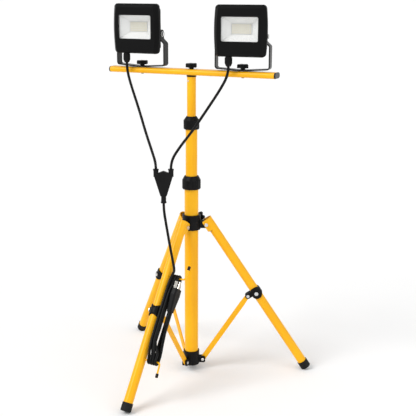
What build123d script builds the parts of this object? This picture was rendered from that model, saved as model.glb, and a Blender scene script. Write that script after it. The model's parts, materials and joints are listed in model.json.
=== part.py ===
from build123d import *
import os
from math import asin, atan2, cos, degrees, pi, radians, sin, tan

# A twin-head LED work light on a folding telescopic tripod, in millimetres, +Z up.
# Everything is laid out about the mast's axis, with the floor at z = 0 and the crossbar along X,
# then moved so that the origin is on the floor under the middle of the frame's outline.

# ---------------------------------------------------------------- driving dimensions
RUN = 0.08                      # radial clearance of a sliding or turning fit
PIN = 0.05                      # radial clearance of a hinge pin
SNUG = 0.02                     # radial clearance of a bolt or rivet in its own body
WALL = 1.2                      # wall of the mast tubes and of the crossbar

LOWER_R, MID_R, TOP_R = 15.0, 12.5, 9.5
LOWER_Z = (15.0, 430.0)
MID_Z = (148.0, 559.0)
TOP_Z = (258.0, 654.5)

COLLAR_LOWER = (415.5, 444.0, 19.9, 15.4)     # bottom, top, radius, radius of the top rim
COLLAR_UPPER = (544.5, 572.0, 16.8, 11.2)
FLUTES, FLUTE_R = 12, 2.4

BAR_Z, BAR_DEEP, BAR_HIGH = 664.0, 30.0, 12.0
BAR_HALF = 185.5
BAR_LIP = 3.0
HEAD_X = 114.5                  # distance of each head's stud from the mast
HEAD_PAN = {"left": -2.0, "right": 6.0}       # each head's turn about its stud, in degrees

STUD_R, STUD_HOLE_R = 3.0, 3.3

HUB_Z = (326.0, 358.5)
HUB_R = 19.5
LEG_PIVOT_R, LEG_PIVOT_Z = 32.0, 337.0
LEG_ANGLE = 33.1                # from the vertical, opened
LEG_FOLDED = 3.0                # from the vertical, folded
LEG_AZIMUTHS = {"right": 23.4, "back": 143.4, "front": 263.4}
LEG_R, LEG_WALL = 10.0, 1.5
LEG_OFFSET = 8.0                # the tube's axis is this far outside its pivot
LEG_END = 402.4                 # from the pivot's level to the end of the foot cap
EAR_SPAN = (-10.0, 16.5)        # along the leg
EAR_REACH = 12.6                # inward from the tube's axis
LUG_HALF = 8.2
CLAMP_AZIMUTH, CLAMP_Z = 83.4, 345.0

SADDLE_S = 190.0                # along the leg, to the saddle's bolt
STAY_S, STAY_IN = 188.0, 20.0   # brace pivot on the saddle: along the leg, inward from its axis
SLOT_HALF = 1.9                 # half the gap that a brace runs in
ARM_HALF = 6.0

LOWER_HUB_Z = (12.0, 44.0)
LOWER_HUB_R = 17.5
STAY_R, STAY_Z = 25.0, 22.0     # brace pivot on the lower hub
BRACE_WIDE, BRACE_THICK = 11.3, 3.0
BRACE_TIP, BRACE_TAPER = 4.4, 22.0            # radius of its upper end, and length of the taper to it
RIVET_R = 2.0
BOLT_R = 2.5

PIVOT_Z = 740.0                 # the heads' tilt axis
HEAD_MID_Z = 751.0
HEAD_WIDE, HEAD_SIDE, HEAD_HIGH = 109.0, 103.0, 102.0
FRAME_BACK, FRAME_FRONT = 17.5, 32.5          # the front frame's depth ahead of the tilt axis
FRAME_BEVEL = 8.5               # depth of the bevel round its front
BEVEL_SIDE, BEVEL_TOP, BEVEL_BOTTOM = 7.5, 6.5, 2.5
SCREW_X, SCREW_Z = 45.5, 39.5   # the frame's four screws, from the head's middle
WINDOW_WIDE, WINDOW_HIGH, WINDOW_Z = 76.0, 48.0, 754.5
LENS_FRONT, LENS_THICK = 29.9, 3.0
LED_WIDE, LED_HIGH, LED_Y = 41.0, 19.5, 13.4
BODY_HALF, BODY_HIGH = 44.8, 84.0
FIN_BACK, FIN_COUNT, FIN_THICK = 8.0, 11, 2.0
GLAND_X, GLAND_Y, GLAND_Z = -23.5, 25.0, 681.0

STRAP_WIDE, STRAP_THICK = 18.0, 2.5
STRAP_HALF = 57.5               # outside of the bracket's arms
STRAP_BASE_Z = 670.8            # underside of the bracket at its stud
STRAP_RISE, STRAP_BOW = 3.6, 180.0            # how far its base rises to the corners, and its bow

CORD_R = 2.8
HOOK_S = (114.0, 292.0)         # along the front leg
HOOK_R, HOOK_W, HOOK_TURN = 1.9, 45.0, 28.0
HANK_IN = (-13.2, 14.5)         # across the leg, inward, along the hank's middle
HANK_W = (17.0, 28.6)           # sideways from the leg's axis
HANK_TOP, HANK_TOP_W = (100.5, 120.0), 34.2   # round the upper hook
HANK_LOW, HANK_LOW_W = (283.0, 300.5), 40.0   # round the lower hook
PLUG_S, PLUG_IN, PLUG_W = (137.0, 187.0), -4.5, 35.5
PLUG_WIDE, PLUG_THICK = 25.0, 13.0
RELIEF_R, RELIEF_LONG = 4.8, 12.0
PIN_LONG, PIN_WIDE, PIN_THICK = 15.0, 6.3, 1.6

# ---------------------------------------------------------------- cord routes, about the mast's axis
SPLITTER_AT = (-27.9, -78.6)
SPLITTER_TURN = 24.5
SPLITTER_TOP, SPLITTER_BOTTOM, SPLITTER_ARM = 470.5, 398.5, 15.6

LEAD_LEFT = [(-138.9, -24.2, 681.0), (-138.9, -24.2, 665.0), (-126.5, -30.5, 634.0),
             (-101.0, -45.5, 588.0), (-76.0, -62.5, 540.0), (-52.0, -79.0, 501.0),
             (-42.1, -85.1, 482.0), (-42.1, -85.1, 470.5)]
LEAD_RIGHT = [(93.7, -27.3, 681.0), (93.7, -27.3, 665.0), (80.5, -35.0, 636.0),
              (54.0, -46.5, 592.0), (27.0, -56.5, 549.0), (2.0, -65.5, 515.0),
              (-13.7, -72.1, 487.0), (-13.7, -72.1, 470.5)]
MAIN_CORD = [(-27.9, -78.6, 398.5), (-27.9, -78.6, 382.5), (-20.0, -83.0, 352.0),
             (-9.5, -90.0, 315.0), (0.5, -96.5, 283.0), (8.2, -102.7, 262.1)]


# ---------------------------------------------------------------- small helpers
def tube(radius, wall, low, high):
    """A round tube about the mast's axis."""
    ring = Circle(radius) - Circle(radius - wall)
    return Pos(0, 0, low) * extrude(ring, high - low)


def rod(radius, start, end):
    """A solid round bar between two points."""
    run = Vector(*end) - Vector(*start)
    return extrude(Plane(origin=start, z_dir=run) * Circle(radius), run.length)


def block(x, y, z):
    """A box given by its low and high value along each axis."""
    size = [high - low for low, high in (x, y, z)]
    middle = [(high + low) / 2 for low, high in (x, y, z)]
    return Pos(*middle) * Box(*size)


def about(azimuth, part):
    """The part turned about the mast's axis from azimuth 0."""
    return Rot(0, 0, azimuth) * part


def leg_plane(angle=LEG_ANGLE):
    """Plane at azimuth 0: X runs down the leg from its pivot's level, Y inward, Z sideways."""
    a = radians(angle)
    origin = (LEG_PIVOT_R + LEG_OFFSET * cos(a), 0, LEG_PIVOT_Z + LEG_OFFSET * sin(a))
    return Plane(origin=origin, x_dir=(sin(a), 0, -cos(a)), z_dir=(0, 1, 0))


def on_leg(azimuth, part):
    """A part modelled along a leg, put on the leg at that azimuth."""
    return about(azimuth, leg_plane() * part)


def stay_ends():
    """The brace's two pivots, as radius and height."""
    a = radians(LEG_ANGLE)
    inward = STAY_IN - LEG_OFFSET
    top_r = LEG_PIVOT_R + STAY_S * sin(a) - inward * cos(a)
    top_z = LEG_PIVOT_Z - STAY_S * cos(a) - inward * sin(a)
    return (STAY_R, STAY_Z), (top_r, top_z)


def fold():
    """Travel of the hub, turn of a leg and turn of a brace, from opened to folded."""
    (low_r, low_z), (top_r, top_z) = stay_ends()
    length = ((top_r - low_r) ** 2 + (top_z - low_z) ** 2) ** 0.5
    a = radians(LEG_FOLDED)
    inward = STAY_IN - LEG_OFFSET
    reach = LEG_PIVOT_R + STAY_S * sin(a) - inward * cos(a) - low_r
    drop = STAY_S * cos(a) + inward * sin(a)
    lean = asin(reach / length)
    rise = low_z + length * cos(lean) + drop - LEG_PIVOT_Z
    turn = degrees(atan2(top_r - low_r, top_z - low_z) - lean)
    return rise, LEG_ANGLE - LEG_FOLDED, turn


def cord_path(points):
    """Straight runs joined by arcs as large as the runs allow, and the arcs' radii."""
    spots = [Vector(*p) for p in points]
    radii = []
    for before, at, after in zip(spots, spots[1:], spots[2:]):
        turn = radians((at - before).get_angle(after - at))
        shorter = min((at - before).length, (after - at).length)
        radii.append(0.45 * shorter / tan(turn / 2))
    return FilletPolyline(*spots, radius=radii), radii


def cord(name, points):
    path, radii = cord_path(points)
    made = sweep(Plane(origin=points[0], z_dir=path % 0) * Circle(CORD_R), path=path)
    share = made.volume / (pi * CORD_R ** 2 * path.length)
    smallest = [round(r) for r in radii]
    print(f"{name}: length {path.length:.0f}, radii {smallest}, volume share {share:.4f}")
    return made


# ---------------------------------------------------------------- mast
def collar(low, high, radius, rim, tube_r, tube_top, inner_r):
    """A fluted twist-lock nut: it turns on the outer tube's end and grips the inner tube."""
    waist = low + 0.68 * (high - low)
    profile = Polyline((tube_r + RUN, low), (radius - 1.2, low), (radius, low + 1.6), (radius, waist),
                       (rim, high - 1.0), (rim - 0.8, high), (inner_r + RUN, high),
                       (inner_r + RUN, tube_top + 0.4), (tube_r + RUN, tube_top + 0.4), close=True)
    body = revolve(Plane.XZ * make_face(profile), Axis.Z)
    groove = Pos(radius + 0.62 * FLUTE_R, 0, low + 3.0) * extrude(Circle(FLUTE_R), high - low)
    return body - [about(360 * i / FLUTES, groove) for i in range(FLUTES)]


def knob(stem, thick, stud):
    """A five-lobed star knob with its stud, pointing down from the underside of its stem at z = 0."""
    star = Circle(8.4) + [Rot(0, 0, 72 * i - 90) * Pos(8.0, 0) * Circle(4.2) for i in range(5)]
    head = Pos(0, 0, stem) * extrude(star, thick)
    head = fillet(head.faces().sort_by(Axis.Z)[-1].edges(), 2.4)
    shaft = Pos(0, 0, -stud) * Cylinder(STUD_R, stud + stem, align=(Align.CENTER, Align.CENTER, Align.MIN))
    return head + Cylinder(4.8, stem + 1, align=(Align.CENTER, Align.CENTER, Align.MIN)) + shaft


def top_plug():
    """The moulded plug in the top tube that the crossbar is bolted to."""
    lip = Pos(0, 0, TOP_Z[1]) * extrude(Circle(10.2), BAR_Z - BAR_HIGH / 2 - TOP_Z[1])
    insert = Pos(0, 0, TOP_Z[1] - 20) * extrude(Circle(TOP_R - WALL - 0.02), 20)
    bore = Pos(0, 0, TOP_Z[1] - 16) * extrude(Circle(STUD_R + PIN), 30)
    return lip + insert - bore - plug_screw_shape(0.02)


def plug_screw_shape(extra=0.0):
    """The pan-head screw that keeps the plug in the top tube."""
    face = TOP_R + 0.1
    shank = rod(1.2 + extra, (TOP_R - 4.5, 0, 646), (face, 0, 646))
    head = rod(1.9 + extra, (face, 0, 646), (face + 1.1, 0, 646))
    return about(-110, shank + head)


def mast():
    lower = tube(LOWER_R, WALL, *LOWER_Z)
    mid = tube(MID_R, WALL, *MID_Z)
    top = tube(TOP_R, WALL, *TOP_Z) - about(-110, rod(1.25, (0, 0, 646), (TOP_R + 1, 0, 646)))
    centre = Pos(0, 0, BAR_Z + BAR_HIGH / 2 + 0.3) * knob(3.2, 8.4, 24)
    return {
        "mast_lower_tube": lower,
        "mast_mid_tube": mid,
        "mast_top_tube": top,
        "mast_top_plug": top_plug(),
        "top_plug_screw": plug_screw_shape(),
        "collar_lower": collar(*COLLAR_LOWER, LOWER_R, LOWER_Z[1], MID_R),
        "collar_upper": collar(*COLLAR_UPPER, MID_R, MID_Z[1], TOP_R),
        "centre_knob": centre,
    }


# ---------------------------------------------------------------- crossbar
def bar_section(wide, high):
    return Plane.YZ * SlotOverall(wide, high)


def crossbar():
    outer = extrude(bar_section(BAR_DEEP, BAR_HIGH), BAR_HALF, both=True)
    inner = extrude(bar_section(BAR_DEEP - 2 * WALL, BAR_HIGH - 2 * WALL), BAR_HALF + 1, both=True)
    bar = Pos(0, 0, BAR_Z) * (outer - inner)
    for x in (-HEAD_X, 0, HEAD_X):
        bar -= Pos(x, 0, BAR_Z) * Cylinder(STUD_HOLE_R, 40)
    for x in (-HEAD_X, HEAD_X):
        bar -= Pos(x, 0, BAR_Z + 10) * Cylinder(4.6, 20)
    return bar


def end_plug():
    """A flat-oval end plug: a lip over the bar's end and a tongue inside it."""
    lip = Pos(BAR_HALF, 0, BAR_Z) * extrude(bar_section(BAR_DEEP, BAR_HIGH), BAR_LIP)
    lip = fillet(lip.faces().sort_by(Axis.X)[-1].edges(), 1.4)
    tongue = extrude(bar_section(BAR_DEEP - 2 * WALL - 0.1, BAR_HIGH - 2 * WALL - 0.1), 12)
    return lip + Pos(BAR_HALF - 12, 0, BAR_Z) * tongue


def rivet_nut():
    top = BAR_Z + BAR_HIGH / 2
    body = Pos(0, 0, top - 9) * extrude(Circle(4.5), 9)
    flange = Pos(0, 0, top) * extrude(Circle(6.5), 0.8)
    return body + flange - Cylinder(STUD_R + PIN, 3 * top)


def bar_parts():
    plug = end_plug()
    nut = rivet_nut()
    return {
        "crossbar": crossbar(),
        "bar_end_plugs": Compound(children=[plug, Rot(0, 0, 180) * end_plug()]),
        "bar_rivet_nuts": Compound(children=[Pos(-HEAD_X, 0, 0) * nut, Pos(HEAD_X, 0, 0) * rivet_nut()]),
    }


# ---------------------------------------------------------------- one head, facing -Y, its tilt axis over the origin
def front_outline(inset=0.0, top=None, bottom=None):
    """The frame's outline: flat at the top and bottom, bowed out at the sides."""
    side, wide = HEAD_SIDE / 2 - inset, HEAD_WIDE / 2 - inset
    high = HEAD_HIGH / 2 - (inset if top is None else top)
    low = HEAD_HIGH / 2 - (inset if bottom is None else bottom)
    right = ThreePointArc((side, -low), (wide, 0), (side, high))
    left = ThreePointArc((-side, high), (-wide, 0), (-side, -low))
    edge = Wire([Line((-side, -low), (side, -low)), right, Line((side, high), (-side, high)), left])
    return fillet(make_face(edge).vertices(), max(8.0 - inset, 3.0))


def facing(y, z, shape):
    """A sketch stood up at depth y ahead of the tilt axis; extruding it goes forward."""
    return Plane(origin=(0, -y, z), x_dir=(1, 0, 0), z_dir=(0, -1, 0)) * shape


def screw_places():
    return [(x, z) for x in (-SCREW_X, SCREW_X) for z in (-SCREW_Z, SCREW_Z)]


def bezel():
    """The front frame: a bevelled rim, a wall behind it, and four screw posts in its corners."""
    shoulder = FRAME_FRONT - FRAME_BEVEL
    rim = loft(Sketch() + [facing(shoulder, HEAD_MID_Z, front_outline()),
                           facing(FRAME_FRONT, HEAD_MID_Z, front_outline(BEVEL_SIDE, BEVEL_TOP, BEVEL_BOTTOM))],
               ruled=True)
    solid = rim + extrude(facing(FRAME_BACK, HEAD_MID_Z, front_outline()), shoulder - FRAME_BACK)
    hollow = extrude(facing(FRAME_BACK, HEAD_MID_Z, front_outline(3.4)), 5.0)
    hollow += extrude(facing(FRAME_BACK, HEAD_MID_Z, front_outline(10.0)), FRAME_FRONT - 2.0 - FRAME_BACK)
    window = extrude(facing(FRAME_BACK, WINDOW_Z, RectangleRounded(WINDOW_WIDE, WINDOW_HIGH, 3)), 20)
    posts = [extrude(facing(19.6, HEAD_MID_Z, Pos(x, z) * Circle(3.4)), 4.0) for x, z in screw_places()]
    holes = [extrude(facing(19.0, HEAD_MID_Z, Pos(x, z) * Circle(1.6)), 8) for x, z in screw_places()]
    gland_hole = Pos(GLAND_X, -GLAND_Y, 700) * Cylinder(5.3, 12)
    return solid - hollow - window + posts - holes - gland_hole


def gasket():
    outer = facing(LENS_FRONT, WINDOW_Z, RectangleRounded(86, 58, 4))
    inner = facing(LENS_FRONT, WINDOW_Z, RectangleRounded(78, 50, 3))
    return extrude(outer - inner, 0.6)


def lens():
    return extrude(facing(LENS_FRONT - LENS_THICK, WINDOW_Z, RectangleRounded(86, 58, 4)), LENS_THICK)


def funnel(front, back, grow):
    """A four-sided funnel from the window to the LED array, larger all round by grow."""
    wide = facing(front, WINDOW_Z, Rectangle(WINDOW_WIDE + 2 * grow, WINDOW_HIGH + 2 * grow))
    small = facing(back, WINDOW_Z, Rectangle(LED_WIDE + 2 + 2 * grow, LED_HIGH + 2 + 2 * grow))
    return loft(Sketch() + [small, wide])


def reflector():
    front = LENS_FRONT - LENS_THICK - 0.2
    shell = funnel(front, LED_Y + 0.2, 1.2) - funnel(front + 0.001, LED_Y + 0.199, 0.0)
    lip = facing(front - 1.2, WINDOW_Z, Rectangle(84, 56) - Rectangle(WINDOW_WIDE + 1, WINDOW_HIGH + 1))
    return shell + extrude(lip, 1.2)


def led_board():
    """The driver-on-board LED module: an aluminium board, the LED array and its driver chips."""
    board = extrude(facing(LED_Y - 1.6, WINDOW_Z, Rectangle(72, 46)), 1.2)
    array = extrude(facing(LED_Y - 0.4, WINDOW_Z, Rectangle(LED_WIDE, LED_HIGH)), 0.9)
    chips = [extrude(facing(LED_Y - 0.4, WINDOW_Z, Pos(x, z) * Rectangle(5, 4)), 0.5)
             for x in (-29, 29) for z in (-14, 14)]
    return board + array + chips


def housing():
    """The finned rear shell, with a flange inside the frame's back and a pocket for the LED module."""
    flange = extrude(facing(FRAME_BACK, HEAD_MID_Z, front_outline(3.8)), 2.0)
    shell = extrude(facing(0, HEAD_MID_Z, RectangleRounded(2 * BODY_HALF, BODY_HIGH, 5)), FRAME_BACK)
    low = HEAD_MID_Z - BODY_HIGH / 2
    pitch = (2 * BODY_HALF - 12) / (FIN_COUNT - 1)
    fins = [block((x - FIN_THICK / 2, x + FIN_THICK / 2), (-1, FIN_BACK), (low + 4, low + BODY_HIGH - 4))
            for x in [-BODY_HALF + 6 + i * pitch for i in range(FIN_COUNT)]]
    pocket = block((-40, 40), (-30, -(LED_Y - 1.8)), (WINDOW_Z - 30, WINDOW_Z + 30))
    wiring = block((-38, 38), (-30, -5), (low + 4, low + 20))
    holes = [extrude(facing(FRAME_BACK - 1, HEAD_MID_Z, Pos(x, z) * Circle(1.8)), 4)
             for x, z in screw_places()]
    ways = [Pos(x, 0, PIVOT_Z) * Rot(0, 90, 0) * Cylinder(BOLT_R + SNUG, 14) for x in (-BODY_HALF, BODY_HALF)]
    return flange + shell + fins - pocket - wiring - holes - ways


def fasteners():
    """The two bolts that the head tilts on, and the four screws that hold the frame to the housing."""
    inside, outside = BODY_HALF - 6.5, STRAP_HALF - 8.3
    bolts = []
    for side in (-1, 1):
        bolt = rod(BOLT_R, (side * inside, 0, PIVOT_Z), (side * outside, 0, PIVOT_Z))
        bolt += rod(5.5, (side * (outside - 1.2), 0, PIVOT_Z), (side * outside, 0, PIVOT_Z))
        bolts.append(bolt + rod(4.4, (side * outside, 0, PIVOT_Z), (side * (outside + 3.2), 0, PIVOT_Z)))
    screws = [extrude(facing(FRAME_BACK + 0.1, HEAD_MID_Z, Pos(x, z) * Circle(1.6)), 8)
              for x, z in screw_places()]
    return Compound(children=bolts + screws)


def gland():
    profile = Polyline((0, 706), (5.2, 706), (5.2, 699.8), (6.9, 699.8), (7.4, 694), (7.4, 687),
                       (5.6, 682.6), (4.6, GLAND_Z), (0, GLAND_Z), close=True)
    turned = revolve(Plane.XZ * make_face(profile), Axis.Z)
    ribs = [Rot(0, 0, 60 * i) * block((6.9, 7.7), (-1.1, 1.1), (687, 698)) for i in range(6)]
    return Pos(GLAND_X, -GLAND_Y, 0) * (turned + ribs)


def bracket():
    """A U-strap: its base bows down to the bar, and its arms step in to the housing's sides."""
    middle = STRAP_THICK / 2
    arm, step = STRAP_HALF - middle, BODY_HALF + 0.3 + middle
    bow = STRAP_BOW * (1 / cos(atan2(STRAP_RISE, arm)) - 1)
    base = STRAP_BASE_Z + middle - bow
    half = [(step, 749), (step, 730), (arm, 721), (arm, base + STRAP_RISE)]
    points = half + [(0, base)] + [(-x, z) for x, z in reversed(half)]
    spots = [Vector(x, 0, z) for x, z in points]
    path = FilletPolyline(*spots, radius=[5, 5, 5, STRAP_BOW, 5, 5, 5])
    section = Plane(origin=spots[0], z_dir=path % 0, x_dir=(1, 0, 0)) * Rectangle(STRAP_THICK, STRAP_WIDE)
    strap = sweep(section, path=path)
    ends = strap.edges().filter_by(Axis.X).group_by(Axis.Z)[-1]
    strap = fillet(ends, 7.5)
    strap -= Pos(0, 0, PIVOT_Z) * Rot(0, 90, 0) * Cylinder(BOLT_R + PIN, 200)
    return strap - Pos(0, 0, STRAP_BASE_Z) * Cylinder(STUD_HOLE_R, 20)


def head(side, x, pan):
    place = Pos(x, 0, 0) * Rot(0, 0, pan)
    pieces = {
        "housing": housing(), "bezel": bezel(), "gasket": gasket(), "lens": lens(),
        "reflector": reflector(), "led_board": led_board(), "gland": gland(),
        "fasteners": fasteners(), "bracket": bracket(),
        "knob": Pos(0, 0, STRAP_BASE_Z + STRAP_THICK + 0.3) * knob(2.8, 7.6, 17.4),
    }
    return {f"{side}_{name}": place * piece for name, piece in pieces.items()}


# ---------------------------------------------------------------- tripod
def tripod_hub():
    sleeve = tube(HUB_R, HUB_R - LOWER_R - RUN, *HUB_Z)
    bore = Pos(0, 0, HUB_Z[0]) * extrude(Circle(LOWER_R + RUN), HUB_Z[1] - HUB_Z[0])
    lug = block((16, LEG_PIVOT_R), (-LUG_HALF, LUG_HALF), (LEG_PIVOT_Z - 7.5, LEG_PIVOT_Z + 7.5))
    lug += rod(7.5, (LEG_PIVOT_R, -LUG_HALF, LEG_PIVOT_Z), (LEG_PIVOT_R, LUG_HALF, LEG_PIVOT_Z))
    hole = rod(BOLT_R + SNUG, (LEG_PIVOT_R, -20, LEG_PIVOT_Z), (LEG_PIVOT_R, 20, LEG_PIVOT_Z))
    boss = about(CLAMP_AZIMUTH, rod(7.0, (16, 0, CLAMP_Z), (29.5, 0, CLAMP_Z)))
    way = about(CLAMP_AZIMUTH, rod(STUD_R + PIN, (10, 0, CLAMP_Z), (31, 0, CLAMP_Z)))
    lugs = [about(a, lug - hole) for a in LEG_AZIMUTHS.values()]
    return sleeve + boss + lugs - bore - way


def across(radius, head_r, grip, thick, r, z):
    """A pin through a lug, along Y at radius r, with a head at each end of its grip."""
    tip = grip + thick
    half = [(0, tip), (head_r - 0.5, tip), (head_r, tip - 0.5), (head_r, grip), (radius, grip)]
    outline = half + [(x, -y) for x, y in reversed(half)]
    return Pos(r, 0, z) * revolve(make_face(Polyline(*outline, close=True)), Axis.Y)


def hub_bolts():
    bolts = [about(a, across(BOLT_R, 4.0, LEG_R + PIN, 2.6, LEG_PIVOT_R, LEG_PIVOT_Z))
             for a in LEG_AZIMUTHS.values()]
    return Compound(children=bolts)


def hub_knob():
    lying = Pos(29.8, 0, CLAMP_Z) * Rot(0, 90, 0) * knob(1.8, 8.0, 29.8 - LOWER_R - 0.4)
    return about(CLAMP_AZIMUTH, lying)


def lower_hub():
    cup = Pos(0, 0, LOWER_HUB_Z[0]) * extrude(Circle(LOWER_HUB_R), LOWER_HUB_Z[1] - LOWER_HUB_Z[0])
    seat = Pos(0, 0, LOWER_Z[0]) * extrude(Circle(LOWER_R), LOWER_HUB_Z[1])
    ear = block((15.5, 31.0), (SLOT_HALF, SLOT_HALF + 3.4), (15.0, 29.5))
    ear = fillet(ear.edges().filter_by(Axis.Y).group_by(Axis.X)[-1], 3.0)
    hole = rod(RIVET_R + SNUG, (STAY_R, -20, STAY_Z), (STAY_R, 20, STAY_Z))
    pair = ear + mirror(ear, Plane.XZ) - hole
    return cup + [about(a, pair) for a in LEG_AZIMUTHS.values()] - seat


def lower_hub_rivets():
    rivets = [about(a, across(RIVET_R, 3.3, SLOT_HALF + 3.4, 1.2, STAY_R, STAY_Z))
              for a in LEG_AZIMUTHS.values()]
    return Compound(children=rivets)


def leg():
    """A round tube whose top end is opened into a channel with two flat ears."""
    def channel(radius):
        flat = Pos(EAR_REACH / 2, 0) * Rectangle(EAR_REACH, 2 * radius)
        return Circle(radius) + flat
    across_leg = Plane(origin=(EAR_SPAN[0], 0, 0), x_dir=(0, 1, 0), z_dir=(1, 0, 0))
    top = extrude(across_leg * channel(LEG_R), EAR_SPAN[1] - EAR_SPAN[0])
    corners = top.edges().filter_by(Axis.Z).group_by(Axis.Y)[-1]
    top = fillet(corners, 3.0)
    inner = Pos(EAR_REACH, 0) * Rectangle(2 * EAR_REACH, 2 * (LEG_R - LEG_WALL))
    top -= extrude(across_leg * (Circle(LEG_R - LEG_WALL) + inner), EAR_SPAN[1] - EAR_SPAN[0])
    below = Plane(origin=(EAR_SPAN[1], 0, 0), z_dir=(1, 0, 0))
    ring = Circle(LEG_R) - Circle(LEG_R - LEG_WALL)
    shaft = extrude(below * ring, LEG_END - 4 - EAR_SPAN[1])
    slit = block((EAR_SPAN[1], EAR_SPAN[1] + 2.4), (5, 11), (-11, 11))
    pivot = Pos(0, LEG_OFFSET, 0) * Cylinder(BOLT_R + PIN, 40)
    saddle_hole = Pos(SADDLE_S, 0, 0) * Cylinder(BOLT_R + PIN, 40)
    return top + shaft - slit - pivot - saddle_hole


def foot_cap():
    """A rubber cup on the leg's end, worn flat where it stands on the floor."""
    along = Plane(origin=(LEG_END - 18, 0, 0), z_dir=(1, 0, 0))
    cup = extrude(along * Circle(11.2), 18)
    cup = fillet(cup.faces().sort_by(Axis.X)[-1].edges(), 2.5)
    cup -= extrude(along * Circle(LEG_R), 14)
    standing = leg_plane() * cup
    return standing - block((0, 600), (-50, 50), (-20, 0))


def saddle():
    """A moulded band round the leg, split on its inner side between two cheeks that the brace runs in."""
    band = Pos(SADDLE_S, 0, 0) * Rot(0, 90, 0) * Cylinder(12.8, 26)
    band &= Pos(SADDLE_S, 0, 0) * Cylinder(13.6, 40)
    bosses = Pos(SADDLE_S, 0, 0) * Cylinder(6.5, 26.8)
    arm = block((STAY_S - ARM_HALF, STAY_S + ARM_HALF), (6, STAY_IN), (-ARM_HALF, ARM_HALF))
    arm += Pos(STAY_S, STAY_IN, 0) * Cylinder(ARM_HALF, 2 * ARM_HALF)
    slot = block((SADDLE_S - 30, SADDLE_S + 30), (LEG_R - 2, 40), (-SLOT_HALF, SLOT_HALF))
    way = Pos(SADDLE_S, 0, 0) * Rot(0, 90, 0) * Cylinder(LEG_R + 0.05, 60)
    holes = Pos(SADDLE_S, 0, 0) * Cylinder(BOLT_R + SNUG, 60)
    holes += Pos(STAY_S, STAY_IN, 0) * Cylinder(RIVET_R + SNUG, 60)
    return band + bosses + arm - slot - way - holes


def saddle_bolts():
    """The bolt through the leg, and the two half rivets that face the brace's open pivot."""
    bolt = Pos(SADDLE_S, 0, 0) * Cylinder(BOLT_R, 28)
    bolt += Pos(SADDLE_S, 0, 14.8) * Cylinder(4.2, 2.8)
    hexagon = Pos(SADDLE_S, 0, -16.6) * extrude(RegularPolygon(4.6, 6), 3.2)
    low, high = SLOT_HALF, ARM_HALF
    half = Pos(STAY_S, STAY_IN, (low + high) / 2) * Cylinder(RIVET_R, high - low)
    half += Pos(STAY_S, STAY_IN, high + 0.6) * Cylinder(3.4, 1.2)
    return Compound(children=[bolt + hexagon, half, mirror(half, Plane.XY)])


def brace():
    """A flat strip with round ends, tapered to its upper one, and a hole at each end, at azimuth 0."""
    (low_r, low_z), (top_r, top_z) = stay_ends()
    along = Vector(top_r - low_r, 0, top_z - low_z)
    flat = Plane(origin=(low_r, -BRACE_THICK / 2, low_z), x_dir=along, z_dir=(0, 1, 0))
    long, half = along.length, BRACE_WIDE / 2
    strip = Polyline((0, half), (long - BRACE_TAPER, half), (long, BRACE_TIP), (long, -BRACE_TIP),
                     (long - BRACE_TAPER, -half), (0, -half), close=True)
    shape = make_face(strip) + Circle(half) + Pos(long, 0) * Circle(BRACE_TIP)
    shape -= Circle(RIVET_R + PIN)
    shape -= Pos(long, 0) * Circle(RIVET_R + 0.6)
    return extrude(flat * shape, BRACE_THICK)


def tripod():
    made = {
        "tripod_hub": tripod_hub(), "hub_bolts": hub_bolts(), "hub_knob": hub_knob(),
        "lower_hub": lower_hub(), "lower_hub_rivets": lower_hub_rivets(),
    }
    for side, azimuth in LEG_AZIMUTHS.items():
        made[f"{side}_leg"] = on_leg(azimuth, leg())
        made[f"{side}_foot_cap"] = about(azimuth, foot_cap())
        made[f"{side}_saddle"] = on_leg(azimuth, saddle())
        made[f"{side}_saddle_bolts"] = on_leg(azimuth, saddle_bolts())
        made[f"{side}_brace"] = about(azimuth, brace())
    return made


# ---------------------------------------------------------------- cord, splitter, plug and hooks
def splitter():
    """A moulded Y splitter: two collared arms above a tapering flat body and a collared stem."""
    arm, top, low = SPLITTER_ARM, SPLITTER_TOP, SPLITTER_BOTTOM
    waist = Plane(origin=(0, 0, 0), x_dir=(1, 0, 0), z_dir=(0, -1, 0))
    edge = Polyline((-19.5, top - 15), (-6.6, low + 15), (6.6, low + 15), (19.5, top - 15),
                    (arm - 3, top - 9), (0, top - 4), (3 - arm, top - 9), close=True)
    shape = fillet(make_face(edge).vertices().group_by(Axis.Y)[-1], 7.0)
    body = extrude(waist * shape, 5.5, both=True)
    body = fillet(body.edges().filter_by(Axis.Y, reverse=True), 1.6)
    for x in (-arm, arm):
        body += rod(5.3, (x, 0, top - 16), (x, 0, top)) + rod(6.1, (x, 0, top - 2.5), (x, 0, top))
    body += rod(5.3, (0, 0, low), (0, 0, low + 18)) + rod(6.1, (0, 0, low), (0, 0, low + 2.5))
    return Pos(*SPLITTER_AT, 0) * Rot(0, 0, SPLITTER_TURN) * body


def hank():
    """The outer shape of the cord wound over both hooks: a slab between two thicker ends."""
    low, high = HANK_IN
    middle = block((HANK_TOP[0] + 4, HANK_LOW[0] + 6), (low, high), HANK_W)
    middle = fillet(middle.edges().filter_by(Axis.Z), 9)
    top = block(HANK_TOP, (low, high - 1.5), (HANK_W[0], HANK_TOP_W))
    top = fillet(top.edges().filter_by(Axis.Z).group_by(Axis.X)[0], 11)
    bottom = block(HANK_LOW, (-8.5, 8.5), (HANK_W[0], HANK_LOW_W))
    bottom = fillet(bottom.edges().filter_by(Axis.Z).group_by(Axis.X)[-1], 7)
    ways = [rod(HOOK_R + 0.2, (s, 0, 0), (s, 0, HOOK_W)) for s in HOOK_S]
    return middle + top + bottom - ways


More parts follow.
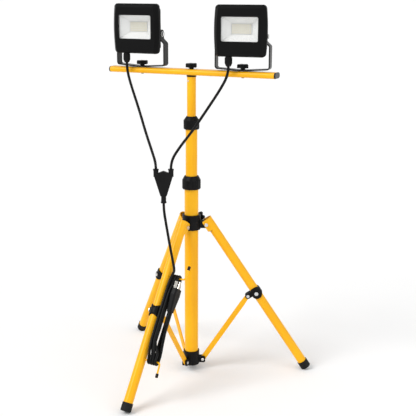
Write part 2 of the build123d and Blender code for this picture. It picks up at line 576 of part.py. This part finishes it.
def hook(place, turn):
    """A wire hook, coped to the leg, that leaves it sideways and bends along it."""
    points = [(place, 0, LEG_R - 1.0), (place, 0, HOOK_W), (place + turn, 0, HOOK_W + 1.5)]
    path = FilletPolyline(*[Vector(*p) for p in points], radius=5)
    wire = sweep(Plane(origin=points[0], z_dir=(0, 0, 1)) * Circle(HOOK_R), path=path)
    return wire - Pos(place, 0, 0) * Rot(0, 90, 0) * Cylinder(LEG_R + 0.02, 20)


def hook_tip(place, turn):
    """The rubber sleeve on a hook's end, in line with the wire."""
    end = Vector(place + turn, 0, HOOK_W + 1.5)
    along = (end - Vector(place, 0, HOOK_W)).normalized()
    start, finish = end - along * 6.5, end + along * 2.0
    sleeve = rod(3.0, tuple(start), tuple(finish))
    sleeve = fillet(sleeve.faces().sort_by(Axis.X)[-1 if turn > 0 else 0].edges(), 1.5)
    return sleeve - rod(HOOK_R, tuple(start), tuple(end))


def plug_body():
    """The moulded plug: a broad head, a waist and a strain relief, lying on the hank."""
    def slice_at(s, wide, thick):
        plane = Plane(origin=(s, PLUG_IN, PLUG_W), x_dir=(0, 1, 0), z_dir=(1, 0, 0))
        return plane * RectangleRounded(wide, thick, thick * 0.3)
    first, last = PLUG_S
    shoulder = first + 13
    grip = loft(Sketch() + [slice_at(first, PLUG_WIDE - 2, PLUG_THICK - 0.4),
                            slice_at(shoulder, PLUG_WIDE, PLUG_THICK)])
    waist = loft(Sketch() + [slice_at(shoulder, PLUG_WIDE, PLUG_THICK), slice_at(last, 14, 11)])
    relief = rod(RELIEF_R, (last, PLUG_IN, PLUG_W), (last + RELIEF_LONG, PLUG_IN, PLUG_W))
    return grip + waist + relief


def plug_pins():
    """Three flat pins: two set at an angle to each other and an upright earth pin."""
    face = Plane(origin=(PLUG_S[0], PLUG_IN, PLUG_W), x_dir=(0, 1, 0), z_dir=(-1, 0, 0))
    blade = Rectangle(PIN_THICK, PIN_WIDE)
    spots = [(-6.85, 1.6, 30), (6.85, 1.6, -30), (0, -3.4, 90)]
    made = [extrude(face * (Pos(x, y) * Rot(0, 0, turn) * blade), PIN_LONG) for x, y, turn in spots]
    return Compound(children=made)


def cords():
    front = LEG_AZIMUTHS["front"]
    places = [(HOOK_S[0], -HOOK_TURN), (HOOK_S[1], HOOK_TURN)]
    return {
        "lead_left": cord("lead_left", LEAD_LEFT),
        "lead_right": cord("lead_right", LEAD_RIGHT),
        "splitter": splitter(),
        "main_cord": cord("main_cord", MAIN_CORD),
        "cord_hank": on_leg(front, hank()),
        "plug_body": on_leg(front, plug_body()),
        "plug_pins": on_leg(front, plug_pins()),
        "cord_hooks": on_leg(front, Compound(children=[hook(*p) for p in places])),
        "hook_tips": on_leg(front, Compound(children=[hook_tip(*p) for p in places])),
    }


# ---------------------------------------------------------------- the whole light
ON_CORD = ("lead_left", "lead_right", "splitter", "main_cord", "cord_hank", "plug_body", "plug_pins")


def assemble():
    """Every node, moved so that the origin is under the middle of what isn't cord, and that move."""
    nodes = {**mast(), **bar_parts(), **tripod(), **cords()}
    nodes |= head("left", -HEAD_X, HEAD_PAN["left"])
    nodes |= head("right", HEAD_X, HEAD_PAN["right"])
    boxes = [part.bounding_box() for name, part in nodes.items() if name not in ON_CORD]
    middles = [(min(tuple(box.min)[i] for box in boxes) + max(tuple(box.max)[i] for box in boxes)) / 2
               for i in (0, 1)]
    shift = [-middle for middle in middles]
    return {name: Pos(*shift, 0) * part for name, part in nodes.items()}, shift


def main():
    nodes, shift = assemble()
    os.makedirs("parts", exist_ok=True)
    for name, part in nodes.items():
        export_step(part, f"parts/{name}.step")
    rise, leg_turn, brace_turn = fold()
    print(f"{len(nodes)} nodes; mast axis at x {shift[0]:.3f}, y {shift[1]:.3f}")
    print(f"fold: hub rises {rise:.3f}, legs turn {leg_turn:.3f}, braces turn {brace_turn:.3f}")


if __name__ == "__main__":
    main()
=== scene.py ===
import json
import math

import bmesh
import bpy
import numpy as np
from mathutils import Matrix, Vector


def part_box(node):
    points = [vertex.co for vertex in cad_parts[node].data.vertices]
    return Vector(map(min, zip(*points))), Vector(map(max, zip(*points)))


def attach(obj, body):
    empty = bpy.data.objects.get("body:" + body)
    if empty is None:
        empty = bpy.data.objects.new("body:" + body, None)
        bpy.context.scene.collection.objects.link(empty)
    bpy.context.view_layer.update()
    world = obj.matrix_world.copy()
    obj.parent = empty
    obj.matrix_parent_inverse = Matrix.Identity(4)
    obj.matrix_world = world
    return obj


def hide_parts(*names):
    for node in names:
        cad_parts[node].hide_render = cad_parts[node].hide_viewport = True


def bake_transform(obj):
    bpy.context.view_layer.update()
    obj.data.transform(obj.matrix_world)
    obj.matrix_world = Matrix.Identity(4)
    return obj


# A twin-head LED work light on a folding telescopic tripod, dressed around its CAD frame.
# Lengths are in metres in the frame, and the routes and leg sizes below are in millimetres, as in the CAD.

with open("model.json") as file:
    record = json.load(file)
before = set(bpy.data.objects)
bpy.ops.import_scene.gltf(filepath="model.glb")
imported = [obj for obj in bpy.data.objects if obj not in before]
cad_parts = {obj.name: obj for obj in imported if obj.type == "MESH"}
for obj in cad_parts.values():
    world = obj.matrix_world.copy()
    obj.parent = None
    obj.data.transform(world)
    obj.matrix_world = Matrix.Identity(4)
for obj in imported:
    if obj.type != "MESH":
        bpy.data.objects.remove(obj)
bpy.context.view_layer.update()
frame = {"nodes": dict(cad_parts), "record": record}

MM = 0.001
HEADS = ("left", "right")
HEAD_PAN = {"left": -2.0, "right": 6.0}
HEAD_X = {"left": -114.5, "right": 114.5}

# ---------------------------------------------------------------- the frame's own places
low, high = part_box("mast_lower_tube")
MAST = Vector(((low.x + high.x) / 2, (low.y + high.y) / 2, 0))

FRONT_AZIMUTH = math.radians(263.4)
LEG_ANGLE = math.radians(33.1)
LEG_PIVOT_R, LEG_PIVOT_Z, LEG_OFFSET = 32.0, 337.0, 8.0


def at(x, y, z):
    """A place given in millimetres about the mast's axis."""
    return MAST + Vector((x, y, z)) * MM


def leg_matrix(azimuth):
    """X runs down the leg, Y inward to the mast and Z sideways, in millimetres from the pivot's level."""
    sine, cosine = math.sin(LEG_ANGLE), math.cos(LEG_ANGLE)
    axes = Matrix(((sine, -cosine, 0), (0, 0, 1), (-cosine, -sine, 0))).to_4x4()
    start = Vector((LEG_PIVOT_R + LEG_OFFSET * cosine, 0, LEG_PIVOT_Z + LEG_OFFSET * sine))
    turn = Matrix.Rotation(azimuth, 4, "Z")
    return Matrix.Translation(MAST) @ Matrix.Scale(MM, 4) @ turn @ Matrix.Translation(start) @ axes


FRONT_LEG = leg_matrix(FRONT_AZIMUTH)


# ---------------------------------------------------------------- camera
CAMERA_TURN, CAMERA_AWAY, CAMERA_UP = math.radians(24.5), 1.8465, 0.8418
CAMERA_PITCH = math.radians(14.27)
CAMERA_LENS, CAMERA_SHIFT = 76.34, 0.0397


def make_camera():
    data = bpy.data.cameras.new("camera")
    camera = bpy.data.objects.new("camera", data)
    bpy.context.scene.collection.objects.link(camera)
    bpy.context.scene.camera = camera
    away = Vector((math.sin(CAMERA_TURN), -math.cos(CAMERA_TURN), 0))
    camera.location = MAST + away * CAMERA_AWAY + Vector((0, 0, CAMERA_UP))
    look = -away * math.cos(CAMERA_PITCH) - Vector((0, 0, math.sin(CAMERA_PITCH)))
    camera.rotation_euler = look.to_track_quat("-Z", "Y").to_euler()
    data.sensor_width, data.lens, data.shift_x = 36, CAMERA_LENS, CAMERA_SHIFT
    data.clip_start, data.clip_end = 0.05, 200


make_camera()


# ---------------------------------------------------------------- mesh helpers
def link(name, mesh):
    piece = bpy.data.objects.new(name, mesh)
    bpy.context.scene.collection.objects.link(piece)
    return piece


def from_rings(name, rings):
    """A skin over rings of equally many points, capped at both ends."""
    count = len(rings[0])
    points = [tuple(p) for ring in rings for p in ring]
    faces = []
    for i in range(len(rings) - 1):
        a, b = i * count, (i + 1) * count
        for j in range(count):
            k = (j + 1) % count
            faces.append((a + j, a + k, b + k, b + j))
    faces.append(tuple(reversed(range(count))))
    faces.append(tuple(range(len(points) - count, len(points))))
    mesh = bpy.data.meshes.new(name)
    mesh.from_pydata(points, [], faces)
    bm = bmesh.new()
    bm.from_mesh(mesh)
    bmesh.ops.recalc_face_normals(bm, faces=bm.faces)
    bm.to_mesh(mesh)
    bm.free()
    for face in mesh.polygons:
        face.use_smooth = len(face.vertices) == 4
    return link(name, mesh)


def frames_along(path):
    """A side and an up direction at each point of a path, turned as little as possible."""
    points = [Vector(p) for p in path]
    tangents = [(b - a).normalized() for a, b in zip(points, points[1:])]
    tangents.append(tangents[-1])
    side = tangents[0].orthogonal().normalized()
    out = []
    for i, along in enumerate(tangents):
        if 0 < i < len(points) - 1:
            along = (tangents[i - 1] + tangents[i]).normalized()
        side = (side - along * side.dot(along)).normalized()
        out.append((side, along.cross(side)))
    return out


def tube(name, path, radius, sides=14):
    """A round tube along a path; radius is one value, or a function of the share of the path."""
    rings = []
    turns = [2 * math.pi * j / sides for j in range(sides)]
    for i, (point, (side, up)) in enumerate(zip(path, frames_along(path))):
        size = radius(i / (len(path) - 1)) if callable(radius) else radius
        rings.append([Vector(point) + (side * math.cos(t) + up * math.sin(t)) * size for t in turns])
    return from_rings(name, rings)


# ---------------------------------------------------------------- cords
CORD_R = 0.0028
NURBS_STEPS = 24

LEADS = {
    "left": [(-138.9, -24.2, 681.0), (-138.9, -24.2, 665.0), (-126.5, -30.5, 634.0),
             (-101.0, -45.5, 588.0), (-76.0, -62.5, 540.0), (-52.0, -79.0, 501.0),
             (-42.1, -85.1, 482.0), (-42.1, -85.1, 470.5)],
    "right": [(93.7, -27.3, 681.0), (93.7, -27.3, 665.0), (80.5, -35.0, 636.0),
              (54.0, -46.5, 592.0), (27.0, -56.5, 549.0), (2.0, -65.5, 515.0),
              (-13.7, -72.1, 487.0), (-13.7, -72.1, 470.5)],
}
MAIN_CORD = [(-27.9, -78.6, 398.5), (-27.9, -78.6, 382.5), (-20.0, -83.0, 352.0),
             (-9.5, -90.0, 315.0), (0.5, -96.5, 283.0), (8.2, -102.7, 262.1)]

# The hank, in the front leg's own millimetres: along the leg, inward and sideways.
HOOK_TOP, HOOK_LOW = 114.0, 292.0
HOOK_SEAT = 1.4                 # how far a fold's middle lies inside its hook's wire
FOLD_R = 6.6                    # radius of the control points of a fold
FOLD_LEG = 5.0                  # the straight length at each end of a fold
FOLD_W = (19.8, 25.5, 31.3, 37.1)               # where each turn lies on a hook
LEFT_RUNS = [(-13.8, 18.0), (-8.2, 18.0), (-12.6, 23.6), (-7.0, 23.6)]
RIGHT_RUNS = [(0.5, 19.9), (12.0, 22.4), (12.0, 28.2)]
SPREAD, GATHER = 18.0, 36.0     # from a hook: where runs part sideways, then where they close up
PLUG_S, PLUG_IN, PLUG_W = (137.0, 187.0), -4.5, 35.5
RELIEF_LONG = 12.0


def fold_round(hook, way, sideways):
    """Half a turn round a hook's wire; way is 1 round the lower hook and -1 round the upper one."""
    middle = hook - HOOK_SEAT * way
    turns = [math.radians(a) for a in (0, 45, 90, 135, 180)]
    bend = [(middle + way * FOLD_R * math.sin(t), -way * FOLD_R * math.cos(t), sideways) for t in turns]
    straight = middle - way * FOLD_LEG
    return [(straight, -way * FOLD_R, sideways), *bend, (straight, way * FOLD_R, sideways)]


def run_between(start, way, place, first_w, last_w, loose):
    """One straight run of the hank: part, close up, bow a little, and open out again at the far hook."""
    inward, sideways = place
    end = HOOK_LOW if way > 0 else HOOK_TOP
    long = abs(end - start)
    outward = math.copysign(loose, inward)
    parted = 0.75 * inward - 0.25 * way * FOLD_R
    points = [(start + way * SPREAD, parted, first_w), (start + way * GATHER, inward, sideways)]
    points += [(start + way * long * share, inward + outward * math.sin(math.pi * share), sideways)
               for share in (0.36, 0.5, 0.64)]
    points += [(end - way * GATHER, inward, sideways), (end - way * SPREAD, parted, last_w)]
    return points


def hank_points():
    """The cord's route over both hooks, turn after turn, and up to the plug's strain relief."""
    points = [(108.5, -10.8, 19.2), (120.0, -13.4, 18.4)]
    turns = len(LEFT_RUNS)
    for turn in range(turns):
        sideways = FOLD_W[turn]
        above = FOLD_W[turn - 1] if turn else LEFT_RUNS[0][1]
        down = run_between(HOOK_TOP, 1, LEFT_RUNS[turn], above, sideways, 0.25)
        points += down if turn else down[1:]
        points += fold_round(HOOK_LOW, 1, sideways)
        if turn < turns - 1:
            points += run_between(HOOK_LOW, -1, RIGHT_RUNS[turn], sideways, sideways, 0.9)
            points += fold_round(HOOK_TOP, -1, sideways)
    tail = PLUG_S[1] + RELIEF_LONG
    points += [(HOOK_LOW - SPREAD, 8.0, 36.4), (HOOK_LOW - GATHER, 7.5, 34.0), (tail + 34, 3.5, 34.2),
               (tail + 14, PLUG_IN, PLUG_W), (tail, PLUG_IN, PLUG_W)]
    return [FRONT_LEG @ Vector(p) for p in points]


def centreline(points):
    """The smooth line of a cord's route: the points that a NURBS spline through its control points gives."""
    curve = bpy.data.curves.new("route", "CURVE")
    curve.dimensions = "3D"
    curve.resolution_u = NURBS_STEPS
    spline = curve.splines.new("NURBS")
    spline.points.add(len(points) - 1)
    for spot, point in zip(spline.points, points):
        spot.co = (*point, 1)
    spline.order_u = 3
    spline.use_endpoint_u = True
    holder = link("route", curve)
    mesh = bpy.data.meshes.new_from_object(holder)
    line = [v.co.copy() for v in mesh.vertices]
    bpy.data.objects.remove(holder)
    bpy.data.curves.remove(curve)
    bpy.data.meshes.remove(mesh)
    return line


def length_of(path):
    return sum((b - a).length for a, b in zip(path, path[1:]))


def spans(line, stops):
    """The line cut at the given lengths along it, with each cut's point in both pieces."""
    cuts = [0.0, *stops, length_of(line)]
    walked = [0.0]
    for a, b in zip(line, line[1:]):
        walked.append(walked[-1] + (b - a).length)

    def point_at(distance):
        i = min(max(int(np.searchsorted(walked, distance)) - 1, 0), len(line) - 2)
        share = (distance - walked[i]) / max(walked[i + 1] - walked[i], 1e-9)
        return line[i].lerp(line[i + 1], min(max(share, 0), 1))
    out = []
    for first, last in zip(cuts, cuts[1:]):
        inner = [p for p, w in zip(line, walked) if first + 1e-4 < w < last - 1e-4]
        out.append([point_at(first), *inner, point_at(last)])
    return out


def even(path, step):
    """The path with points about a step apart."""
    total = length_of(path)
    count = max(2, round(total / step))
    pieces = spans(path, [total * i / count for i in range(1, count)])
    return [piece[0] for piece in pieces] + [path[-1]]


CORD_STEP = 0.0015
GUARD_LONG, GUARD_STEP = 0.018, 0.0009
GUARD_END_R, GUARD_FLARE, GUARD_RIB = 0.0033, 0.0011, 0.0006
LEAD_CUTS = [0.062, 0.124]      # along a lead, where one piece ends and the next begins
MAIN_CUTS = [0.0365, 0.073, 0.1095, 0.146]


def chain(name, line, stops, bodies, material):
    """A cord in pieces that meet end to end, one piece for each two neighbouring bodies in the list."""
    made = []
    for i, (path, pair) in enumerate(zip(spans(line, stops), zip(bodies, bodies[1:]))):
        path = even(path, CORD_STEP)
        piece = tube(f"{name}_{i + 1}", path, CORD_R)
        piece.data.materials.append(material)
        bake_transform(piece)
        made.append((piece, path))
    return made


# ---------------------------------------------------------------- material helpers
def material(name):
    made = bpy.data.materials.new(name)
    made.use_nodes = True
    nodes = made.node_tree.nodes
    return made, nodes, made.node_tree.links, nodes["Principled BSDF"]


def noise(nodes, links, scale, detail=3.0, roughness=0.5, stretch=(1, 1, 1)):
    where = nodes.new("ShaderNodeTexCoord")
    mapping = nodes.new("ShaderNodeMapping")
    mapping.inputs["Scale"].default_value = stretch
    links.new(where.outputs["Object"], mapping.inputs["Vector"])
    texture = nodes.new("ShaderNodeTexNoise")
    texture.inputs["Scale"].default_value = scale
    texture.inputs["Detail"].default_value = detail
    texture.inputs["Roughness"].default_value = roughness
    links.new(mapping.outputs["Vector"], texture.inputs["Vector"])
    return texture.outputs["Fac"]


def ramp(nodes, links, value, stops):
    """A colour ramp from (position, colour) stops, fed by a value."""
    made = nodes.new("ShaderNodeValToRGB")
    elements = made.color_ramp.elements
    while len(elements) < len(stops):
        elements.new(0.5)
    for element, (position, colour) in zip(elements, stops):
        element.position = position
        element.color = (*colour, 1)
    links.new(value, made.inputs["Fac"])
    return made.outputs["Color"]


def scaled(nodes, links, value, low, high, from_low=0.0, from_high=1.0):
    made = nodes.new("ShaderNodeMapRange")
    made.inputs["From Min"].default_value = from_low
    made.inputs["From Max"].default_value = from_high
    made.inputs["To Min"].default_value = low
    made.inputs["To Max"].default_value = high
    links.new(value, made.inputs["Value"])
    return made.outputs["Result"]


def mixed(nodes, links, factor, a, b):
    """One colour over another by a factor; each is an output, or a plain colour."""
    made = nodes.new("ShaderNodeMix")
    made.data_type = "RGBA"
    links.new(factor, made.inputs["Factor"])
    for socket, value in (("A", a), ("B", b)):
        target = [s for s in made.inputs if s.name == socket and s.type == "RGBA"][0]
        if isinstance(value, tuple):
            target.default_value = (*value, 1)
        else:
            links.new(value, target)
    return [s for s in made.outputs if s.type == "RGBA"][0]


def bumped(nodes, links, shader, height, distance, strength=1.0, edge=0.0):
    """Bump from a height, over edges softened to a small radius."""
    made = nodes.new("ShaderNodeBump")
    made.inputs["Strength"].default_value = strength
    made.inputs["Distance"].default_value = distance
    links.new(height, made.inputs["Height"])
    if edge:
        bevel = nodes.new("ShaderNodeBevel")
        bevel.samples = 6
        bevel.inputs["Radius"].default_value = edge
        links.new(bevel.outputs["Normal"], made.inputs["Normal"])
    links.new(made.outputs["Normal"], shader.inputs["Normal"])


def edge_mask(nodes, links, radius):
    """1 on worn edges and 0 on flat faces, from how far a softened normal leans from the true one."""
    bevel = nodes.new("ShaderNodeBevel")
    bevel.samples = 6
    bevel.inputs["Radius"].default_value = radius
    geometry = nodes.new("ShaderNodeNewGeometry")
    dot = nodes.new("ShaderNodeVectorMath")
    dot.operation = "DOT_PRODUCT"
    links.new(bevel.outputs["Normal"], dot.inputs[0])
    links.new(geometry.outputs["Normal"], dot.inputs[1])
    return scaled(nodes, links, dot.outputs["Value"], 1.0, 0.0, 0.86, 0.995)


def powder_coat(name, deep, main, pale, rough, grain, edge=0.0005, gloss=0.2):
    """Powder coat: a slight drift of colour, orange peel, and a paler line along its edges."""
    made, nodes, links, shader = material(name)
    drift = noise(nodes, links, 9.0, 4.0)
    colour = ramp(nodes, links, drift, [(0.3, deep), (0.55, main), (0.8, pale)])
    speck = scaled(nodes, links, noise(nodes, links, 1700.0, 2.0), 0.0, 0.10, 0.6, 0.75)
    colour = mixed(nodes, links, speck, colour, deep)
    worn = edge_mask(nodes, links, edge)
    patch = scaled(nodes, links, noise(nodes, links, 120.0, 4.0), 0.0, 0.55, 0.45, 0.65)
    wear = nodes.new("ShaderNodeMath")
    wear.operation = "MULTIPLY"
    links.new(worn, wear.inputs[0])
    links.new(patch, wear.inputs[1])
    colour = mixed(nodes, links, wear.outputs["Value"], colour, tuple(min(1, c * 1.25 + 0.02) for c in pale))
    links.new(colour, shader.inputs["Base Color"])
    smears = noise(nodes, links, 38.0, 5.0)
    links.new(scaled(nodes, links, smears, rough * 0.8, rough * 1.25), shader.inputs["Roughness"])
    shader.inputs["Specular IOR Level"].default_value = gloss
    bumped(nodes, links, shader, noise(nodes, links, grain, 2.0), 0.00006, 0.35, edge)
    return made


def moulded(name, colour, pale, rough, grain, depth=0.00005, edge=0.0004, gloss=0.18):
    """Moulded plastic or rubber: a fine spark-eroded grain, dust in its colour and rubbed edges."""
    made, nodes, links, shader = material(name)
    drift = ramp(nodes, links, noise(nodes, links, 55.0, 5.0), [(0.35, colour), (0.75, pale)])
    rubbed = scaled(nodes, links, edge_mask(nodes, links, edge), 0.0, 0.35)
    base = mixed(nodes, links, rubbed, drift, tuple(c * 2.0 + 0.006 for c in pale))
    links.new(base, shader.inputs["Base Color"])
    smears = noise(nodes, links, 90.0, 4.0)
    links.new(scaled(nodes, links, smears, rough * 0.85, rough * 1.2), shader.inputs["Roughness"])
    shader.inputs["Specular IOR Level"].default_value = gloss
    bumped(nodes, links, shader, noise(nodes, links, grain, 2.5), depth, 0.5, edge)
    return made


def plated(name, colour, pale, rough, stretch=(1, 1, 6)):
    """Bright plated metal with fine drawn lines and a faint change of colour."""
    made, nodes, links, shader = material(name)
    base = ramp(nodes, links, noise(nodes, links, 160.0, 4.0), [(0.35, colour), (0.7, pale)])
    links.new(base, shader.inputs["Base Color"])
    shader.inputs["Metallic"].default_value = 1.0
    lines = noise(nodes, links, 900.0, 3.0, 0.6, stretch)
    links.new(scaled(nodes, links, lines, rough * 0.7, rough * 1.4), shader.inputs["Roughness"])
    bumped(nodes, links, shader, lines, 0.00002, 0.3, 0.0003)
    return made


YELLOW = powder_coat("yellow_powder_coat", (0.88, 0.41, 0.003), (0.93, 0.46, 0.005), (0.95, 0.50, 0.008),
                     0.30, 750.0, gloss=0.25)
BLACK_PAINT = powder_coat("black_semi_gloss_paint", (0.004, 0.004, 0.004), (0.006, 0.006, 0.0062),
                          (0.011, 0.011, 0.0115), 0.30, 900.0)
CASTING = powder_coat("black_satin_casting", (0.0022, 0.0022, 0.0023), (0.0035, 0.0035, 0.0037),
                      (0.006, 0.006, 0.0063), 0.45, 1500.0, edge=0.0008, gloss=0.1)
PLASTIC = moulded("black_glass_filled_nylon", (0.0028, 0.0028, 0.003), (0.006, 0.006, 0.0063), 0.42, 1600.0,
                  gloss=0.13)
GLOSS_PLASTIC = moulded("black_gloss_plastic", (0.005, 0.005, 0.005), (0.009, 0.009, 0.009), 0.22, 700.0,
                        0.00002, gloss=0.3)
RUBBER = moulded("black_rubber", (0.007, 0.007, 0.007), (0.016, 0.016, 0.016), 0.62, 1300.0, 0.00008)
SHEATH = moulded("cord_sheath", (0.003, 0.003, 0.0031), (0.006, 0.006, 0.0063), 0.40, 1100.0, 0.00004,
                 gloss=0.15)
ZINC = plated("bright_zinc", (0.62, 0.63, 0.64), (0.80, 0.79, 0.76), 0.26)
NICKEL = plated("nickel_plate", (0.66, 0.63, 0.56), (0.82, 0.80, 0.74), 0.20)


def reflector_metal():
    """Pressed reflector sheet, nearly white, with the faint streaks of its brushing."""
    made, nodes, links, shader = material("reflector_sheet")
    streaks = noise(nodes, links, 60.0, 4.0, 0.6, (1, 14, 1))
    links.new(ramp(nodes, links, streaks, [(0.3, (0.80, 0.80, 0.79)), (0.7, (0.88, 0.88, 0.87))]),
              shader.inputs["Base Color"])
    shader.inputs["Metallic"].default_value = 0.12
    links.new(scaled(nodes, links, streaks, 0.30, 0.46), shader.inputs["Roughness"])
    bumped(nodes, links, shader, streaks, 0.00003, 0.3, 0.0004)
    return made


def phosphor(name, colour, pale, scale):
    """The LEDs' silicone and phosphor fill: granular, slightly waxy."""
    made, nodes, links, shader = material(name)
    grains = noise(nodes, links, scale, 3.0)
    links.new(ramp(nodes, links, grains, [(0.35, colour), (0.7, pale)]), shader.inputs["Base Color"])
    links.new(scaled(nodes, links, grains, 0.32, 0.5), shader.inputs["Roughness"])
    bumped(nodes, links, shader, grains, 0.00004, 0.4)
    return made


def clear_glass():
    """A toughened front glass: clear, with a faint film of dust that catches the light."""
    made, nodes, links, shader = material("toughened_glass")
    film = noise(nodes, links, 45.0, 5.0)
    links.new(ramp(nodes, links, film, [(0.3, (0.80, 0.86, 0.85)), (0.8, (0.9, 0.93, 0.92))]),
              shader.inputs["Base Color"])
    links.new(scaled(nodes, links, film, 0.02, 0.07), shader.inputs["Roughness"])
    links.new(scaled(nodes, links, film, 0.03, 0.07), shader.inputs["Alpha"])
    shader.inputs["IOR"].default_value = 1.5
    return made


REFLECTOR = reflector_metal()
BOARD = phosphor("led_board_solder_mask", (0.70, 0.70, 0.68), (0.80, 0.80, 0.78), 500.0)
LEDS = phosphor("led_phosphor", (0.72, 0.65, 0.44), (0.80, 0.74, 0.54), 900.0)
GLASS = clear_glass()

FINISHES = {
    "yellow_paint": YELLOW, "black_plastic": PLASTIC, "gloss_black_plastic": GLOSS_PLASTIC,
    "zinc_steel": ZINC, "black_rubber": RUBBER, "cord_sheath": SHEATH, "nickelled_brass": NICKEL,
    "black_casting": CASTING, "black_paint": BLACK_PAINT, "clear_glass": GLASS,
    "reflector_metal": REFLECTOR, "led_module": BOARD,
}


def dress_frame():
    """Each CAD node takes the finish of its material slot."""
    for row in frame["record"]["subparts"]:
        node = frame["nodes"][row["node"]]
        node.data.materials.clear()
        node.data.materials.append(FINISHES[row["material_slot"]])


dress_frame()


# ---------------------------------------------------------------- cords in place
def make_leads():
    for side in HEADS:
        line = centreline([at(*p) for p in LEADS[side]])
        bodies = (f"{side}_head", f"{side}_bracket", "crossbar", "mast_top")
        pieces = chain(f"lead_{side}", line, LEAD_CUTS, bodies, SHEATH)
        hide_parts(f"lead_{side}")


def make_main_cord():
    line = centreline([at(*p) for p in MAIN_CORD] + hank_points())
    bodies = ("mast_top", "mast_middle", "mast_base", "hub", "front_leg")
    pieces = chain("main_cord", line, MAIN_CUTS, bodies, SHEATH)
    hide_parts("main_cord")
    path = even(spans(line, MAIN_CUTS)[-1], CORD_STEP)
    hank = tube("cord_hank_turns", path, CORD_R)
    hank.data.materials.append(SHEATH)
    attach(hank, "front_leg")
    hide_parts("cord_hank")
    guard_path = even(spans(line, [length_of(line) - GUARD_LONG])[-1], GUARD_STEP)

    def ribbed(share):
        """The guard's radius: thicker towards the plug, with a groove at every other ring."""
        rib = 0.0 if round(share * (len(guard_path) - 1)) % 4 < 2 else GUARD_RIB
        return GUARD_END_R + GUARD_FLARE * share + rib
    guard = tube("plug_cord_guard", guard_path, ribbed, 20)
    guard.data.materials.append(SHEATH)
    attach(guard, "front_leg")


make_leads()
make_main_cord()


# ---------------------------------------------------------------- lamp heads
LED_Z, LED_FACE = 754.5, 14.3
CHIP_COLUMNS, CHIP_ROWS = 10, 5
CHIP_PITCH_X, CHIP_PITCH_Z = 4.0, 3.8
CHIP_SIZE = (2.6, 0.5, 2.4)


def led_chips(side):
    """The LED array's chips under their phosphor, in rows on the module."""
    turn = Matrix.Rotation(math.radians(HEAD_PAN[side]), 4, "Z")
    place = Matrix.Translation(at(HEAD_X[side], 0, 0)) @ turn @ Matrix.Scale(MM, 4)
    bm = bmesh.new()
    for column in range(CHIP_COLUMNS):
        for row in range(CHIP_ROWS):
            x = CHIP_PITCH_X * (column - (CHIP_COLUMNS - 1) / 2)
            z = LED_Z + CHIP_PITCH_Z * (row - (CHIP_ROWS - 1) / 2)
            made = bmesh.ops.create_cube(bm, size=1)["verts"]
            bmesh.ops.scale(bm, vec=CHIP_SIZE, verts=made)
            bmesh.ops.translate(bm, vec=(x, -LED_FACE, z), verts=made)
    bmesh.ops.bevel(bm, geom=bm.edges[:], offset=0.2, segments=2, affect="EDGES")
    mesh = bpy.data.meshes.new(f"{side}_led_chips")
    bm.to_mesh(mesh)
    bm.free()
    mesh.transform(place)
    piece = link(f"{side}_led_chips", mesh)
    piece.data.materials.append(LEDS)
    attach(piece, f"{side}_head")


for head_side in HEADS:
    led_chips(head_side)


# ---------------------------------------------------------------- floor and light
FLOOR_HALF = 70.0


def make_floor():
    bm = bmesh.new()
    bmesh.ops.create_grid(bm, x_segments=2, y_segments=2, size=FLOOR_HALF)
    mesh = bpy.data.meshes.new("floor")
    bm.to_mesh(mesh)
    bm.free()
    floor = link("floor", mesh)
    floor.location.z = -0.0005
    made, nodes, links, shader = material("pale_floor")
    tone = ramp(nodes, links, noise(nodes, links, 3.0, 2.0),
                [(0.3, (0.925, 0.925, 0.925)), (0.7, (0.94, 0.94, 0.94))])
    links.new(tone, shader.inputs["Base Color"])
    shader.inputs["Roughness"].default_value = 0.9
    mesh.materials.append(made)


HORIZON_LIGHT, SKY_LIGHT = 1.0, 0.6    # the room's brightness, by how high it is


def sun(name, towards, strength, softness):
    """An even light from a broad patch of sky, shining along a direction."""
    data = bpy.data.lights.new(name, "SUN")
    data.energy, data.angle = strength, math.radians(softness)
    lamp = bpy.data.objects.new(name, data)
    bpy.context.scene.collection.objects.link(lamp)
    lamp.rotation_euler = Vector(towards).to_track_quat("-Z", "Y").to_euler()


def make_light():
    world = bpy.data.worlds.new("studio")
    world.use_nodes = True
    world.node_tree.nodes["Background"].inputs["Color"].default_value = (1, 1, 1, 1)
    nodes, links = world.node_tree.nodes, world.node_tree.links
    direction = nodes.new("ShaderNodeTexCoord")
    split = nodes.new("ShaderNodeSeparateXYZ")
    links.new(direction.outputs["Generated"], split.inputs["Vector"])
    height = scaled(nodes, links, split.outputs["Z"], HORIZON_LIGHT, SKY_LIGHT, 0.12, 0.4)
    links.new(height, nodes["Background"].inputs["Strength"])
    bpy.context.scene.world = world
    sun("key", (0.55, 0.8, -0.9), 1.65, 30)
    sun("fill", (-0.8, 0.3, -0.7), 0.6, 50)


make_floor()
make_light()
bpy.context.scene.view_settings.view_transform = "Standard"
